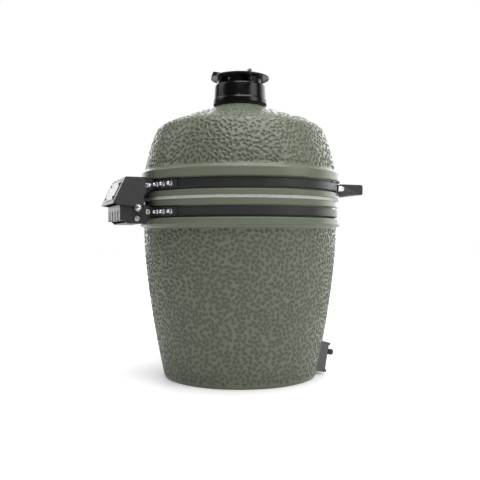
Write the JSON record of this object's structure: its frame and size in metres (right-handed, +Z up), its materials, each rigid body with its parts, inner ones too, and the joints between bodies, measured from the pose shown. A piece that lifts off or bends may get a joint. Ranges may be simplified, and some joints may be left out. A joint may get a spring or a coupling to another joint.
{
  "type": "ceramic charcoal grill",
  "caption": "Egg-shaped ceramic charcoal grill with a hinged domed lid, steel bands, turning top vent and sliding draft door.",
  "frame": {"origin": "centre of the flat underside of the ceramic base", "axes": "+Z up along the axis of the egg; the front, with the handle, the dial and the draft door, faces -Y and the hinge is at +Y; +X is to the right of someone who stands at the front"},
  "size_m": [0.5299, 0.671, 0.812],
  "materials": {
    "glazed_ceramic": "dimpled olive glaze on ceramic",
    "bare_ceramic": "matt unglazed fireclay",
    "gasket_felt": "woven glass fibre felt",
    "band_pad": "heat resistant band pad",
    "coated_steel": "satin black powder coat",
    "draft_steel": "satin grey powder coat",
    "stainless": "brushed stainless",
    "bright_fasteners": "polished stainless",
    "spring_steel": "oiled spring wire",
    "bronze": "sintered bronze",
    "cast_iron": "seasoned cast iron",
    "vent_casting": "semi-gloss black casting",
    "rubber_seal": "matt black seal",
    "thermometer_case": "satin black case",
    "dial_face": "printed white dial",
    "lens_glass": "clear glass",
    "needle_paint": "red pointer",
    "brushed_plate": "plain brushed plate",
    "dark_screws": "blackened screws",
    "knob_plastic": "black heat resistant knob"
  },
  "bodies": {
    "base": {"base_shell": "glazed_ceramic", "base_gasket": "gasket_felt", "lower_band": "coated_steel", "lower_band_pad": "band_pad", "lower_clamp_plates": "coated_steel", "lower_clamp_nuts": "bright_fasteners", "hinge_bracket": "coated_steel", "hinge_grille": "coated_steel", "hinge_bracket_bolts": "bright_fasteners", "lower_strap_nuts": "bright_fasteners", "hinge_pin": "stainless", "hinge_pin_nuts": "bright_fasteners", "hinge_springs": "spring_steel", "fire_box": "bare_ceramic", "fire_ring": "bare_ceramic", "charcoal_grate": "cast_iron", "draft_frame": "draft_steel", "draft_frame_screws": "bright_fasteners"},
    "lid": {"dome_shell": "glazed_ceramic", "dome_gasket": "gasket_felt", "upper_band": "coated_steel", "upper_band_pad": "band_pad", "upper_clamp_plates": "coated_steel", "upper_clamp_nuts": "bright_fasteners", "hinge_arms": "coated_steel", "hinge_bushes": "bronze", "upper_strap_nuts": "bright_fasteners", "hinge_cover": "coated_steel", "hinge_cover_nuts": "bright_fasteners", "blank_plate": "brushed_plate", "blank_plate_screws": "dark_screws", "handle_arms": "coated_steel", "handle_bar": "coated_steel", "handle_nuts": "bright_fasteners", "thermometer_case": "thermometer_case", "thermometer_dial": "dial_face", "thermometer_lens": "lens_glass", "thermometer_bushing": "stainless", "thermometer_nut": "stainless", "vent_seal": "rubber_seal", "vent_collar": "vent_casting"},
    "vent_cap": {"vent_cap": "vent_casting", "vent_shutter": "vent_casting", "vent_bolt": "bright_fasteners"},
    "needle": {"thermometer_needle": "needle_paint"},
    "draft_door": {"draft_door": "draft_steel", "draft_knob": "knob_plastic"},
    "ash_screen": {"ash_screen": "stainless"},
    "cooking_grid": {"cooking_grid": "stainless"}
  },
  "joints": [
    {"name": "lid_hinge", "type": "hinge", "parent": "base", "child": "lid", "pos_m": [0, 0.2947, 0.4343], "axis": [-1, 0, 0], "range_deg": [0, 75]},
    {"name": "vent_turn", "type": "hinge", "parent": "lid", "child": "vent_cap", "pos_m": [0, 0, 0.76], "axis": [0, 0, 1], "range_deg": [0, 30]},
    {"name": "needle_turn", "type": "hinge", "parent": "lid", "child": "needle", "pos_m": [0, -0.172, 0.671], "axis": [0, -0.3584, 0.9336], "range_deg": [-270, 0], "stiffness_Nm_per_rad": 0.0005},
    {"name": "door_slide", "type": "slide", "parent": "base", "child": "draft_door", "axis": [-1, 0, 0], "range_m": [0, 0.11]},
    {"name": "screen_slide", "type": "slide", "parent": "base", "child": "ash_screen", "axis": [1, 0, 0], "range_m": [0, 0.1]},
    {"name": "grid_lift", "type": "slide", "parent": "base", "child": "cooking_grid", "axis": [0, 0, 1], "range_m": [0, 0.05]}
  ]
}
